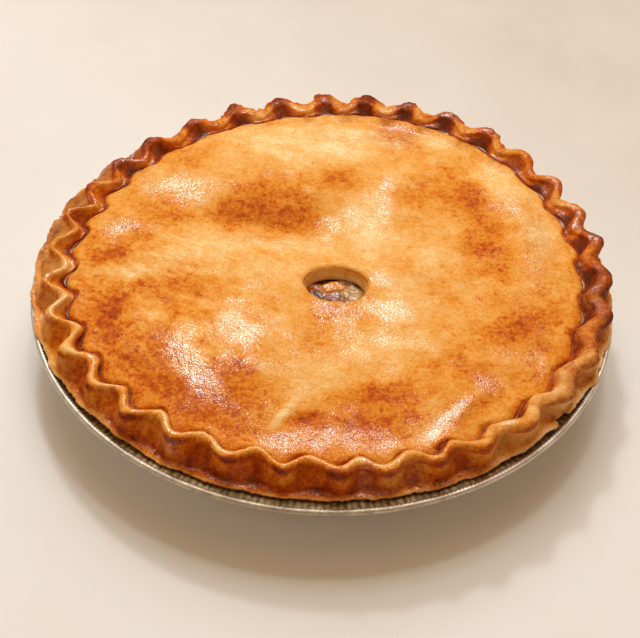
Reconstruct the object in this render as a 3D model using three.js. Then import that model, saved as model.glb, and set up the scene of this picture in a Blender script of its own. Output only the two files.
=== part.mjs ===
// An apple pie in its foil tin, in millimetres, +Z up.
// The origin is the centre of the tin's base, on the surface that the pie stands on.
// The front of the pie faces -Y. Angles run from the front, over the right (+X), round to the back.

import * as THREE from 'three';

// ---------------------------------------------------------------- driving sizes

const RIM_RADIUS = 122; // outside of the tin's rolled bead
const RIM_HEIGHT = 28; // middle of the bead above the table
const BEAD_RADIUS = 1.2;
const FOIL = 0.7; // wall of the tin
const TIN_BASE_RADIUS = 90;
const TIN_TOP_RADIUS = 111; // inside of the wall where the flange starts
const FLANGE_RADIUS = 119.1; // where the flange meets the bead
const FLANGE_DROP = 1.2; // flange's top below the middle of the bead
const WALL_DROP = 2.2; // top of the wall below the middle of the bead
const HEEL_RISE = 1.4; // rounded corner between base and wall
const PLEAT_DEPTH = 0.35;
const GAP = 0.4; // between the tin, the crust and the filling

const FLUTES = 34; // scallops of the crimped edge
const LEDGE_THICKNESS = 1.5; // thin skirt of dough outside the crimp
const GUTTER_RISE = 8.5; // lowest line between lid and crimp, above the bead
const CREST_RISE = 14.3; // top of the crimp, above the bead
const CREST_DIP = 0.4; // how much lower the top is where it points at the middle
const CREST_WIDTH = 6.6;
const CREST_SHOULDER = 2.2; // drop from the top to the crest's rounded sides
const CREST_LAG = 0.5; // the top trails the gutter by this part of a scallop, in radians
const WALL_LAG = 0.85; // the outer wall trails further, which gives the crimp its twist
const SKIRT_WIDTH = 3.4; // from the foot of the outer wall to the skirt's edge
const GUTTER_SHARE = 0.68; // how far the gutter moves in and out, for each mm that the top moves
const GUTTER_CLIMB = 2.0; // how much the lid climbs to the crimp's inner bends

const BOTTOM_CRUST = 4;
const LID_THICKNESS = 5;
const LID_EDGE_RISE = 10; // lid beside the gutter, above the bead
const LID_EDGE_INSET = 7.5; // how far inside the gutter the lid's broad form starts
const LID_DOME = 6; // rise of the lid's broad crown above its edge
const VENT = { x: 4.8, y: -12.6, radius: 12.8, squash: 0.9, lip: 2.4, depth: 6.4 };
const VENT_ROLL = 10; // reach of the thicker dough round the vent
const VENT_FUNNEL = 1.4; // how much narrower the vent is at its foot

const ROUND = 272; // points round the crimp, eight to a scallop
const PLAIN = 68; // points round the lid and the hidden faces
const PLEATED = 102; // points round the tin, two to a pleat
const FLAT = 34; // points round the flat bases

// Broad swells and hollows of the lid: place, height, and reach along X and Y.
const LID_FORMS = [
  { x: -20, y: 62, rise: 2.6, reachX: 36, reachY: 20 }, // mound at the back
  { x: -22, y: 22, rise: -4.8, reachX: 36, reachY: 14 }, // hollow in front of that mound
  { x: 4, y: 4, rise: -2.0, reachX: 22, reachY: 16 }, // sag behind the vent
  { x: 86, y: 40, rise: 2.0, reachX: 11, reachY: 38 }, // shoulder on the right
  { x: 64, y: 22, rise: -2.0, reachX: 15, reachY: 40 }, // hollow inside that shoulder
  { x: -42, y: -54, rise: 2.4, reachX: 28, reachY: 24 }, // swell at the front left
  { x: 54, y: -70, rise: 1.5, reachX: 22, reachY: 18 }, // swell at the front right
  { x: -80, y: -14, rise: -1.4, reachX: 16, reachY: 26 }, // hollow on the left
];

// Pieces of apple that show in the vent: place from its middle, turn, half length, half width, rise.
const APPLE_PIECES = [
  { x: -1.5, y: 1.5, turn: 0.5, long: 5.5, wide: 3.2, rise: 1.2 },
  { x: 6.0, y: -1.0, turn: -1.1, long: 5.0, wide: 3.0, rise: 1.0 },
  { x: -7.5, y: -2.5, turn: 1.3, long: 4.0, wide: 2.4, rise: 0.7 },
];

// ---------------------------------------------------------------- the pie's uneven ring

// Sum of a few waves round the ring; each is [number round the pie, cosine part, sine part].
function waves(angle, mean, parts) {
  let sum = mean;
  for (const [count, cosine, sine] of parts) {
    sum += cosine * Math.cos(count * angle) + sine * Math.sin(count * angle);
  }
  return sum;
}

// The scallops aren't evenly spaced: each lies up to two degrees from its even place.
function scallopShift(angle) {
  const degrees = waves(angle, 3.0, [
    [1, -0.13, 1.34],
    [2, -0.83, -0.76],
    [3, 0.91, -0.32],
    [4, 0.29, -0.28],
    [5, 0.36, 0.41],
  ]);
  return THREE.MathUtils.degToRad(degrees);
}

// 1 where the crimp swings out between two finger marks, 0 where it points at the middle.
function swing(angle, lag = 0) {
  const phase = FLUTES * (angle - scallopShift(angle)) - lag;
  return 0.5 + 0.5 * Math.cos(phase);
}

function gutterReach(angle) {
  return waves(angle, 109.7, [
    [1, -2.4, 2.0],
    [2, 0.7, -1.35],
    [3, -0.5, 0.9],
  ]);
}

function crestReach(angle) {
  return gutterReach(angle) + waves(angle, 5.8, [[1, -0.6, 0], [2, -1.6, 0]]);
}

// How far the crimp's top moves in from its outward swing to its inward one.
function crestTravel(angle) {
  return waves(angle, 5.3, [[1, 1.03, -1.32], [2, -0.85, -0.35]]);
}

function ledgeReach(angle) {
  return waves(angle, 120.2, [[1, -2.3, 0], [2, -2.4, 0]]);
}

// The crimp stands a little higher at the right of the back.
function crimpLift(angle) {
  const fromPeak = Math.atan2(Math.sin(angle - 2.65), Math.cos(angle - 2.65));
  return 2 * Math.exp(-((fromPeak / 0.5) ** 2));
}

// ---------------------------------------------------------------- the lid

function lidTop(x, y) {
  const fromMiddle = Math.hypot(x, y) / 104;
  let z = RIM_HEIGHT + LID_EDGE_RISE + LID_DOME * (1 - Math.min(1, fromMiddle ** 4));
  for (const form of LID_FORMS) {
    const across = (x - form.x) / form.reachX;
    const along = (y - form.y) / form.reachY;
    z += form.rise * Math.exp(-(across * across + along * along));
  }
  return z;
}

// The lid is thickest round the vent, where its cut edge has rolled down.
function lidUnderside(x, y) {
  const fromMiddle = Math.hypot(x - VENT.x, (y - VENT.y) / VENT.squash);
  const fromWall = Math.max(0, fromMiddle - VENT.radius);
  const rolled = Math.exp(-((fromWall / VENT_ROLL) ** 2));
  return lidTop(x, y) - LID_THICKNESS - (VENT.depth - LID_THICKNESS) * rolled;
}

// The vent is an oval: radius is along X, and squash of it along Y.
function aroundVent(angle, radius) {
  return [VENT.x + radius * Math.sin(angle), VENT.y - radius * VENT.squash * Math.cos(angle)];
}

// A point between the vent's lip (share 0) and the lid's outer edge (share 1).
function acrossLid(angle, share, edgeRadius) {
  const [innerX, innerY] = aroundVent(angle, VENT.radius + VENT.lip);
  const outerX = edgeRadius * Math.sin(angle);
  const outerY = -edgeRadius * Math.cos(angle);
  return [innerX + (outerX - innerX) * share, innerY + (outerY - innerY) * share];
}

// ---------------------------------------------------------------- rings and skins

// A ring of points from a rule that gives [radius, height] at each angle.
function ring(count, rule) {
  const points = [];
  for (let i = 0; i < count; i += 1) {
    const angle = (i / count) * 2 * Math.PI;
    const [radius, height] = rule(angle, i);
    points.push(new THREE.Vector3(radius * Math.sin(angle), -radius * Math.cos(angle), height));
  }
  return points;
}

function roundRing(count, radius, height) {
  return ring(count, () => [radius, height]);
}

// A ring of points from a rule that gives [x, y, z] at each angle.
function freeRing(count, rule) {
  const points = [];
  for (let i = 0; i < count; i += 1) {
    points.push(new THREE.Vector3(...rule((i / count) * 2 * Math.PI)));
  }
  return points;
}

function pole(x, y, z) {
  return [new THREE.Vector3(x, y, z)];
}

// Triangles between two rings, which may have different numbers of points.
function bridge(indices, first, second) {
  const firstSteps = first.count > 1 ? first.count : 0;
  const secondSteps = second.count > 1 ? second.count : 0;
  let i = 0;
  let j = 0;
  while (i < firstSteps || j < secondSteps) {
    const a = first.start + (i % first.count);
    const b = second.start + (j % second.count);
    const firstNext = firstSteps ? (i + 0.5) / firstSteps : 2;
    const secondNext = secondSteps ? (j + 0.5) / secondSteps : 2;
    if (j >= secondSteps || (i < firstSteps && firstNext < secondNext)) {
      indices.push(a, first.start + ((i + 1) % first.count), b);
      i += 1;
    } else {
      indices.push(a, second.start + ((j + 1) % second.count), b);
      j += 1;
    }
  }
}

function signedVolume(positions, indices) {
  const a = new THREE.Vector3();
  const b = new THREE.Vector3();
  const c = new THREE.Vector3();
  let volume = 0;
  for (let i = 0; i < indices.length; i += 3) {
    a.fromArray(positions, indices[i] * 3);
    b.fromArray(positions, indices[i + 1] * 3);
    c.fromArray(positions, indices[i + 2] * 3);
    volume += a.dot(b.cross(c)) / 6;
  }
  return volume;
}

// One closed body from a row of rings that starts and ends at a pole.
function skin(rings) {
  const positions = [];
  const indices = [];
  const spans = [];
  for (const points of rings) {
    spans.push({ start: positions.length / 3, count: points.length });
    for (const point of points) {
      positions.push(point.x, point.y, point.z);
    }
  }
  for (let i = 1; i < spans.length; i += 1) {
    bridge(indices, spans[i - 1], spans[i]);
  }
  if (signedVolume(positions, indices) < 0) {
    indices.reverse();
  }
  const geometry = new THREE.BufferGeometry();
  geometry.setAttribute('position', new THREE.Float32BufferAttribute(positions, 3));
  geometry.setIndex(indices);
  geometry.computeVertexNormals();
  return geometry;
}

// ---------------------------------------------------------------- the foil tin

// Radius and height of the tin's base, from the middle out, with its pressed stiffening ring.
const BASE_STEPS = [
  [58, 0],
  [61, 1],
  [67, 1],
  [70, 0],
];

function pleatedRing(radius, height, depth) {
  return ring(PLEATED, (angle, i) => [radius + (i % 2 ? depth : -depth), height]);
}

function beadRings() {
  const rings = [];
  const middle = RIM_RADIUS - BEAD_RADIUS;
  for (let degrees = -120; degrees <= 150; degrees += 54) {
    const turn = THREE.MathUtils.degToRad(degrees);
    const radius = middle + BEAD_RADIUS * Math.cos(turn);
    rings.push(roundRing(PLEATED, radius, RIM_HEIGHT + BEAD_RADIUS * Math.sin(turn)));
  }
  return rings;
}

function foilTin() {
  const flangeTop = RIM_HEIGHT - FLANGE_DROP;
  const wallTop = RIM_HEIGHT - WALL_DROP;
  const outside = [
    pole(0, 0, 0),
    ...BASE_STEPS.map(([radius, height]) => roundRing(FLAT, radius, height)),
    roundRing(PLEATED, TIN_BASE_RADIUS, 0),
    pleatedRing(TIN_BASE_RADIUS + 1.9 + FOIL, HEEL_RISE, PLEAT_DEPTH),
    pleatedRing(TIN_TOP_RADIUS + FOIL, wallTop - FOIL, PLEAT_DEPTH),
    roundRing(PLEATED, FLANGE_RADIUS, flangeTop - FOIL),
  ];
  const inside = [
    roundRing(PLEATED, FLANGE_RADIUS, flangeTop),
    pleatedRing(TIN_TOP_RADIUS, wallTop, PLEAT_DEPTH),
    pleatedRing(TIN_BASE_RADIUS + 1.9, HEEL_RISE + FOIL, PLEAT_DEPTH),
    roundRing(PLEATED, TIN_BASE_RADIUS - 0.6, FOIL),
    ...[...BASE_STEPS].reverse().map(([radius, height]) => roundRing(FLAT, radius, height + FOIL)),
    pole(0, 0, FOIL),
  ];
  return skin([...outside, ...beadRings(), ...inside]);
}

// ---------------------------------------------------------------- the crust

const LID_RADIUS = 100; // where the lid's broad form meets the crimp
const LID_SHARES = [0.94, 0.83, 0.7, 0.56, 0.42, 0.29, 0.17, 0.06];
const CAVITY_SHARES = [0.18, 0.55, 0.92];

// Height of the skirt's underside: over the bead where the skirt reaches it, else on the flange.
function ledgeUnderside(angle) {
  const overBead = THREE.MathUtils.smoothstep(ledgeReach(angle), FLANGE_RADIUS - 2.2, FLANGE_RADIUS - 0.4);
  const onFlange = RIM_HEIGHT - FLANGE_DROP + 2 * GAP;
  return THREE.MathUtils.lerp(onFlange, RIM_HEIGHT + BEAD_RADIUS + GAP, overBead);
}

function crestHeight(angle) {
  return RIM_HEIGHT + CREST_RISE + crimpLift(angle) - CREST_DIP * (1 - swing(angle));
}

function crestRadius(angle) {
  return crestReach(angle) - crestTravel(angle) * (1 - swing(angle, CREST_LAG));
}

function gutterRadius(angle) {
  return gutterReach(angle) - GUTTER_SHARE * crestTravel(angle) * (1 - swing(angle));
}

function gutterHeight(angle) {
  return RIM_HEIGHT + GUTTER_RISE + crimpLift(angle) + GUTTER_CLIMB * (1 - swing(angle));
}

function wallFoot(angle) {
  const pressedIn = 1.6 * (1 - swing(angle, WALL_LAG)) + 0.6 * Math.sin(angle) ** 2;
  return [ledgeReach(angle) - SKIRT_WIDTH - pressedIn, ledgeUnderside(angle) + LEDGE_THICKNESS + 1.0];
}

// The outer wall bulges where the crimp swings out and is pressed in between.
function wallMiddle(angle) {
  const foot = wallFoot(angle);
  const top = [crestRadius(angle) + CREST_WIDTH / 2, crestHeight(angle) - CREST_SHOULDER];
  const out = swing(angle, WALL_LAG);
  const bulge = 2.0 * out - 1.3 * (1 - out);
  return [(foot[0] + top[0]) / 2 + bulge, (foot[1] + top[1]) / 2];
}

// Rings of the skirt and the crimp, from the skirt's lower edge over the top to the lid.
function crimpRings() {
  const half = CREST_WIDTH / 2;
  const ledgeTop = (a) => ledgeUnderside(a) + LEDGE_THICKNESS;
  return [
    ring(ROUND, (a) => [ledgeReach(a), ledgeUnderside(a) + 0.3]),
    ring(ROUND, (a) => [ledgeReach(a) - 0.5, ledgeTop(a)]),
    ring(ROUND, wallFoot),
    ring(ROUND, wallMiddle),
    ring(ROUND, (a) => [crestRadius(a) + half, crestHeight(a) - CREST_SHOULDER]),
    ring(ROUND, (a) => [crestRadius(a), crestHeight(a)]),
    ring(ROUND, (a) => [crestRadius(a) - half, crestHeight(a) - CREST_SHOULDER]),
    ring(ROUND, (a) => [gutterRadius(a), gutterHeight(a)]),
    ring(ROUND, (a) => {
      const radius = gutterReach(a) - LID_EDGE_INSET;
      return [radius, lidTop(radius * Math.sin(a), -radius * Math.cos(a)) + 0.4 * crimpLift(a)];
    }),
  ];
}

function lidRings() {
  return LID_SHARES.map((share) => freeRing(PLAIN, (angle) => {
    const [x, y] = acrossLid(angle, share, LID_RADIUS);
    return [x, y, lidTop(x, y)];
  }));
}

// The vent's edge: a low rounded lip, then the cut wall down to the lid's underside.
function ventRings() {
  const atRadius = (radius, rise) => freeRing(PLAIN, (angle) => {
    const [x, y] = aroundVent(angle, radius);
    return [x, y, lidTop(x, y) + rise];
  });
  const wallFoot = freeRing(PLAIN, (angle) => {
    const [x, y] = aroundVent(angle, VENT.radius - VENT_FUNNEL);
    return [x, y, lidUnderside(x, y)];
  });
  return [
    atRadius(VENT.radius + VENT.lip * 0.5, 0.7),
    atRadius(VENT.radius, -0.2),
    atRadius(VENT.radius - 0.8 * VENT_FUNNEL, -2.2),
    wallFoot,
  ];
}

// Faces of the space that the filling takes up, shrunk by inset for the filling itself.
function spaceRings(inset) {
  const under = CAVITY_SHARES.map((share) => freeRing(PLAIN, (angle) => {
    const [x, y] = acrossLid(angle, share, LID_RADIUS - 4);
    return [x, y, lidUnderside(x, y) - inset];
  }));
  const floor = FOIL + GAP + BOTTOM_CRUST + inset;
  return [
    ...under,
    roundRing(PLAIN, LID_RADIUS - 1.5 - inset, RIM_HEIGHT + 3.5 - inset),
    roundRing(PLAIN, TIN_BASE_RADIUS - 4 - inset, floor + 1.6),
    roundRing(FLAT, TIN_BASE_RADIUS - 7 - inset, floor),
    pole(0, 0, floor),
  ];
}

function crust() {
  const lift = FOIL + GAP;
  const outside = [
    pole(0, 0, lift),
    ...BASE_STEPS.map(([radius, height]) => roundRing(FLAT, radius, height + lift)),
    roundRing(PLAIN, TIN_BASE_RADIUS - 2.2, lift),
    roundRing(PLAIN, TIN_BASE_RADIUS + 0.4, HEEL_RISE + lift),
    roundRing(PLAIN, TIN_TOP_RADIUS - 1.4, RIM_HEIGHT - WALL_DROP + GAP),
    roundRing(PLAIN, TIN_TOP_RADIUS + 2.5, RIM_HEIGHT - FLANGE_DROP + GAP),
    ring(ROUND, (a) => [Math.min(ledgeReach(a) - 1.2, FLANGE_RADIUS - 0.5), ledgeUnderside(a)]),
  ];
  return skin([...outside, ...crimpRings(), ...lidRings(), ...ventRings(), ...spaceRings(0)]);
}

// ---------------------------------------------------------------- the apple filling

const APPLE_RINGS = [2.2, 4.4, 6.6, 8.8, 10.6]; // distances from the vent's middle

// Soft-edged lumps of the apple pieces, measured from the vent's middle.
function appleRise(x, y) {
  let rise = 0;
  for (const piece of APPLE_PIECES) {
    const dx = x - piece.x;
    const dy = y - piece.y;
    const along = (dx * Math.cos(piece.turn) + dy * Math.sin(piece.turn)) / piece.long;
    const across = (dy * Math.cos(piece.turn) - dx * Math.sin(piece.turn)) / piece.wide;
    const fromMiddle = along ** 4 + across ** 4;
    rise = Math.max(rise, piece.rise * (1 - THREE.MathUtils.smoothstep(fromMiddle, 0.3, 1.6)));
  }
  return rise;
}

function fillingTop(x, y) {
  return lidUnderside(x, y) - GAP + appleRise(x - VENT.x, y - VENT.y);
}

function filling() {
  const showing = APPLE_RINGS.map((radius) => freeRing(PLAIN, (angle) => {
    const [x, y] = aroundVent(angle, radius);
    return [x, y, fillingTop(x, y)];
  }));
  const underWall = freeRing(PLAIN, (angle) => {
    const [x, y] = aroundVent(angle, VENT.radius - VENT_FUNNEL);
    return [x, y, lidUnderside(x, y) - GAP];
  });
  const middle = pole(VENT.x, VENT.y, fillingTop(VENT.x, VENT.y));
  return skin([middle, ...showing, underWall, ...spaceRings(GAP)]);
}

// ---------------------------------------------------------------- the pie

function part(name, geometry, color, roughness, metalness) {
  const material = new THREE.MeshStandardMaterial({ color, roughness, metalness });
  const mesh = new THREE.Mesh(geometry, material);
  mesh.name = name;
  return mesh;
}

const pie = new THREE.Group();
pie.add(part('foil_tin', foilTin(), '#c9c4ba', 0.35, 1));
pie.add(part('crust', crust(), '#d08a3c', 0.55, 0));
pie.add(part('filling', filling(), '#a8713a', 0.4, 0));

export default pie;
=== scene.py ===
# A whole apple pie in its foil tin, dressed for rendering.
# Shapes are worked out in millimetres and written to Blender in metres.
# Angles run from the front (-Y), over the right (+X), round to the back, as in the solids.

import math

import bpy
import numpy as np
from mathutils import Matrix, Vector


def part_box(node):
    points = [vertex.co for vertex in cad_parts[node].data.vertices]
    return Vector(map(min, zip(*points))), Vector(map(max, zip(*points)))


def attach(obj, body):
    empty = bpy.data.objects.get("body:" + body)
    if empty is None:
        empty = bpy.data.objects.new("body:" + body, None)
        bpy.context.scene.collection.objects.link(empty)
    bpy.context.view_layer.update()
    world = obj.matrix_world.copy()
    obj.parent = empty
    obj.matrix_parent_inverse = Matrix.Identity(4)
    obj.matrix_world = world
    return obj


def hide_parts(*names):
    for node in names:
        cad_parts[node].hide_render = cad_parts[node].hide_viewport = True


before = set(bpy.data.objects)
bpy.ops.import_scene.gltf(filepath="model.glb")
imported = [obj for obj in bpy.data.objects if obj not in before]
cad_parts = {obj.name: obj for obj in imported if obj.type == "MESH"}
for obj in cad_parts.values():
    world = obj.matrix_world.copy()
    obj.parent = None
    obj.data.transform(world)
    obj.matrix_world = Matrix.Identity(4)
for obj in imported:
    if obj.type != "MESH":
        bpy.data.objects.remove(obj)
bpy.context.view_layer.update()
body = "root"

# -------- driving sizes, in mm

MM = 0.001
RIM_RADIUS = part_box("foil_tin")[1].x / MM  # outside of the rolled bead
RIM_HEIGHT = 28.0  # middle of the bead
BEAD_RADIUS = 1.2
FOIL = 0.7
TIN_BASE_RADIUS = 90.0
TIN_TOP_RADIUS = 111.0
FLANGE_RADIUS = 119.1
FLANGE_DROP = 1.2
WALL_DROP = 2.2
HEEL_RISE = 1.4
GAP = 0.4  # between one solid and the next
BOX_MARGIN = 0.05  # the relief ends this far inside the solids' box

FLUTES = 34
GUTTER_RISE = 8.5
CREST_RISE = 14.3
CREST_DIP = 0.4
CREST_WIDTH = 6.6
GUTTER_SHARE = 0.68  # how far the gutter moves, for each mm that the crest moves
GUTTER_CLIMB = 2.0

BOTTOM_CRUST = 4.0
LID_THICKNESS = 5.0
LID_EDGE_RISE = 10.0
LID_EDGE_INSET = 10.0
LID_DOME = 6.0
LID_RADIUS = 100.0
VENT_X, VENT_Y, VENT_RADIUS, VENT_LIP, VENT_DEPTH = 5.2, -12.9, 13.7, 2.4, 6.4
VENT_SQUASH = 0.88  # how far it reaches along Y, for each mm along X
VENT_ROLL = 10.0
VENT_FUNNEL = 1.4  # how much narrower it is at its foot

# Swells and hollows of the lid: x, y, rise, reach along X, reach along Y.
LID_FORMS = [
    (-20, 62, 2.6, 36, 20),
    (-22, 22, -4.8, 36, 14),
    (4, 4, -2.0, 22, 16),
    (86, 40, 2.0, 11, 38),
    (64, 22, -2.0, 15, 40),
    (-42, -54, 2.4, 28, 24),
    (54, -70, 1.5, 22, 18),
    (-80, -14, -1.4, 16, 26),
]

CRIMP_COLUMNS = FLUTES * 28
LID_COLUMNS = FLUTES * 20
MIDDLE_COLUMNS = FLUTES * 10
TIN_COLUMNS = 2700
BASE_COLUMNS = 120
TAU = 2 * math.pi

# -------- small tools


def smoothstep(value, low, high):
    t = np.clip((value - low) / (high - low), 0, 1)
    return t * t * (3 - 2 * t)


def lerp(first, second, share):
    return first + (second - first) * share


def wrap(angle):
    return np.arctan2(np.sin(angle), np.cos(angle))


def hill(value, middle, reach):
    return np.exp(-(((value - middle) / reach) ** 2))


def angle_hill(angle, middle_degrees, reach_degrees):
    return hill(np.degrees(wrap(angle - math.radians(middle_degrees))), 0, reach_degrees)


def lattice(ix, iy, iz, seed):
    """A fixed random number from 0 to 1 for each whole-number place."""
    mixed = ix.astype(np.uint32) * np.uint32(374761393)
    mixed += iy.astype(np.uint32) * np.uint32(668265263)
    mixed += iz.astype(np.uint32) * np.uint32(2246822519)
    mixed += np.uint32((seed * 3266489917) % 4294967296)
    mixed = (mixed ^ (mixed >> np.uint32(15))) * np.uint32(2246822519)
    mixed = (mixed ^ (mixed >> np.uint32(13))) * np.uint32(3266489917)
    mixed = mixed ^ (mixed >> np.uint32(16))
    return mixed.astype(np.float64) / 4294967295.0


def noise(points, size, seed):
    """Smooth noise from -1 to 1 whose lumps are about size across. Points are rows of x, y, z."""
    scaled = points / size
    cell = np.floor(scaled).astype(np.int64)
    part = scaled - cell
    part = part * part * part * (part * (part * 6 - 15) + 10)
    total = 0
    for corner in range(8):
        dx, dy, dz = corner & 1, (corner >> 1) & 1, corner >> 2
        value = lattice(cell[:, 0] + dx, cell[:, 1] + dy, cell[:, 2] + dz, seed)
        weight_x = part[:, 0] if dx else 1 - part[:, 0]
        weight_y = part[:, 1] if dy else 1 - part[:, 1]
        weight_z = part[:, 2] if dz else 1 - part[:, 2]
        total += value * weight_x * weight_y * weight_z
    return total * 2 - 1


def fractal(points, size, seed, octaves=3, fade=0.5):
    total = 0
    weight = 1.0
    for octave in range(octaves):
        total += weight * noise(points, size / 2**octave, seed + 17 * octave)
        weight *= fade
    return total


def around(count):
    return np.arange(count) / count * TAU


def rows(*columns):
    return np.stack(columns, axis=1)


def cylinder_points(angle, radius, height):
    """Rows of x, y, z for points at an angle, a radius and a height."""
    radius = radius + 0 * angle
    height = height + 0 * angle
    return rows(radius * np.sin(angle), -radius * np.cos(angle), height)


def circle(count, radius, height):
    return cylinder_points(around(count), radius, height)


def catmull_rows(controls, steps):
    """Rows on smooth curves through the control rows; steps gives the rows in each stretch."""
    padded = [controls[0]] + list(controls) + [controls[-1]]
    found = []
    for i, count in enumerate(steps):
        before, start, end, after = padded[i : i + 4]
        for step in range(count):
            t = step / count
            row = 2 * start + (end - before) * t
            row += (2 * before - 5 * start + 4 * end - after) * t**2
            row += (3 * start - before - 3 * end + after) * t**3
            found.append((i + t, row / 2))
    found.append((len(steps), controls[-1]))
    return found


# -------- the pie's uneven ring


def waves(angle, mean, parts):
    total = mean
    for count, cosine, sine in parts:
        total = total + cosine * np.cos(count * angle) + sine * np.sin(count * angle)
    return total


SHIFT_WAVES = [(1, -0.13, 1.34), (2, -0.83, -0.76), (3, 0.91, -0.32), (4, 0.29, -0.28), (5, 0.36, 0.41)]


def scallop_place(angle):
    """Which scallop an angle is in, as a number from 0 to FLUTES."""
    shift = np.radians(waves(angle, 3.0, SHIFT_WAVES))
    return FLUTES * (angle - shift) / TAU


def swing(angle, lag=0.0):
    """1 where the crimp swings out, 0 where it points at the middle."""
    return 0.5 + 0.5 * np.cos(scallop_place(angle) * TAU - lag)


def each_scallop(angle, seed):
    """An uneven value round 0 that changes from scallop to scallop."""
    values = np.random.default_rng(seed).normal(0, 1, FLUTES).clip(-1.8, 1.8)
    place = scallop_place(angle)
    whole = np.floor(place).astype(int)
    share = smoothstep(place - whole, 0, 1)
    return lerp(values[whole % FLUTES], values[(whole + 1) % FLUTES], share)


def gutter_reach(angle):
    return waves(angle, 109.7, [(1, -2.4, 2.0), (2, 0.7, -1.35), (3, -0.5, 0.9)])


def crest_reach(angle):
    return gutter_reach(angle) + waves(angle, 5.8, [(1, -0.6, 0), (2, -1.6, 0)])


def crest_travel(angle):
    """How far the crest moves in from its outward swing to its inward one."""
    return waves(angle, 5.3, [(1, 1.03, -1.32), (2, -0.85, -0.35)])


def ledge_reach(angle):
    return waves(angle, 120.2, [(1, -2.3, 0), (2, -2.4, 0)])


def crest_dip(angle):
    """How much lower the crest is where it points at the middle."""
    return CREST_DIP + 1.3 * angle_hill(angle, 175, 75)


def crest_thickness(angle):
    """Share of the usual width: thick at the right, thinner at the front and the left."""
    thin = 0.24 * angle_hill(angle, -5, 50) + 0.24 * angle_hill(angle, -108, 38)
    return 0.92 + 0.20 * angle_hill(angle, 70, 42) - thin


def crimp_lift(angle):
    """The crimp stands up to 2 mm higher at the back, somewhat to the right."""
    return 2 * hill(wrap(angle - 2.65), 0, 0.5)


def torn_edge(angle):
    """How far the skirt's rough edge falls short of its full reach, with one bite at the right."""
    place = cylinder_points(angle, 115.0, 0)
    teeth = 0.5 * np.maximum(0, fractal(place, 5.0, 61, 3, 0.7)) + 0.45 * np.abs(noise(place, 1.6, 64))
    bite = 2.6 * smoothstep(angle_hill(angle, 54.5, 1.9), 0.3, 0.6)
    nib = -0.9 * angle_hill(angle, 51.5, 0.7)
    return teeth + bite + nib


def ledge_underside(angle):
    over_bead = smoothstep(ledge_reach(angle), FLANGE_RADIUS - 2.2, FLANGE_RADIUS - 0.4)
    on_flange = RIM_HEIGHT - FLANGE_DROP + 2 * GAP
    return lerp(on_flange, RIM_HEIGHT + BEAD_RADIUS + GAP, over_bead)


def lid_top(x, y):
    share = np.minimum(1, (np.hypot(x, y) / 104) ** 4)
    z = RIM_HEIGHT + LID_EDGE_RISE + LID_DOME * (1 - share)
    for form_x, form_y, rise, reach_x, reach_y in LID_FORMS:
        z += rise * np.exp(-(((x - form_x) / reach_x) ** 2 + ((y - form_y) / reach_y) ** 2))
    return z


def lid_underside(x, y):
    from_wall = np.maximum(0, from_vent(x, y) - VENT_RADIUS)
    rolled = np.exp(-((from_wall / VENT_ROLL) ** 2))
    return lid_top(x, y) - LID_THICKNESS - (VENT_DEPTH - LID_THICKNESS) * rolled


def from_vent(x, y):
    """Distance from the vent's middle, where the vent counts as round."""
    return np.hypot(x - VENT_X, (y - VENT_Y) / VENT_SQUASH)


def around_vent(angle, radius):
    return VENT_X + radius * np.sin(angle), VENT_Y - radius * VENT_SQUASH * np.cos(angle)


def across_lid(angle, share, edge_radius):
    inner_x, inner_y = around_vent(angle, VENT_RADIUS + VENT_LIP)
    outer_x = edge_radius * np.sin(angle)
    outer_y = -edge_radius * np.cos(angle)
    return lerp(inner_x, outer_x, share), lerp(inner_y, outer_y, share)


# -------- skins made of rings


class Skin:
    """A closed surface made of rings of points, from one pole to the other."""

    def __init__(self):
        self.points = []
        self.marks = []

    def add(self, points, **marks):
        """Adds a ring. Marks are numbers kept with each of its points."""
        self.points.append(np.asarray(points, float))
        self.marks.append(marks)

    def stack(self, name):
        """One mark of every point, ring after ring."""
        rings = zip(self.points, self.marks)
        return np.concatenate([np.zeros(len(points)) + marks.get(name, 0) for points, marks in rings])

    def all_points(self):
        return np.concatenate(self.points)

    def faces(self):
        quads = []
        start = 0
        for first, second in zip(self.points, self.points[1:]):
            quads.extend(bridge(start, len(first), start + len(first), len(second)))
            start += len(first)
        return quads


def bridge(start_a, count_a, start_b, count_b):
    if count_a == count_b:
        here = np.arange(count_a)
        there = (here + 1) % count_a
        corners = rows(start_a + here, start_a + there, start_b + there, start_b + here)
        return [tuple(row) for row in corners.tolist()]
    faces = []
    steps_a = count_a if count_a > 1 else 0
    steps_b = count_b if count_b > 1 else 0
    i = j = 0
    while i < steps_a or j < steps_b:
        a = start_a + i % count_a
        b = start_b + j % count_b
        next_a = (i + 0.5) / steps_a if steps_a else 2
        next_b = (j + 0.5) / steps_b if steps_b else 2
        if j >= steps_b or (i < steps_a and next_a < next_b):
            faces.append((a, start_a + (i + 1) % count_a, b))
            i += 1
        else:
            faces.append((a, start_b + (j + 1) % count_b, b))
            j += 1
    return faces


def read(items, name, width, kind=float):
    """What each item of a mesh has under a name, in rows of that width."""
    values = np.zeros(len(items) * width, kind)
    items.foreach_get(name, values)
    return values.reshape(-1, width)


def signed_volume(mesh):
    mesh.calc_loop_triangles()
    corners = read(mesh.loop_triangles, "vertices", 3, int)
    a, b, c = read(mesh.vertices, "co", 3)[corners].transpose(1, 0, 2)
    return float((a * np.cross(b, c)).sum())


def make_object(name, points, faces, material):
    """An object of points in mm, with its faces turned outward."""
    mesh = bpy.data.meshes.new(name)
    mesh.from_pydata((points * MM).tolist(), [], faces)
    mesh.update()
    mesh.shade_smooth()
    if signed_volume(mesh) < 0:
        mesh.flip_normals()
    mesh.materials.append(material)
    made = bpy.data.objects.new(name, mesh)
    bpy.context.scene.collection.objects.link(made)
    return made


def move_points(made, points):
    made.data.vertices.foreach_set("co", (points * MM).ravel())
    made.data.update()


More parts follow.
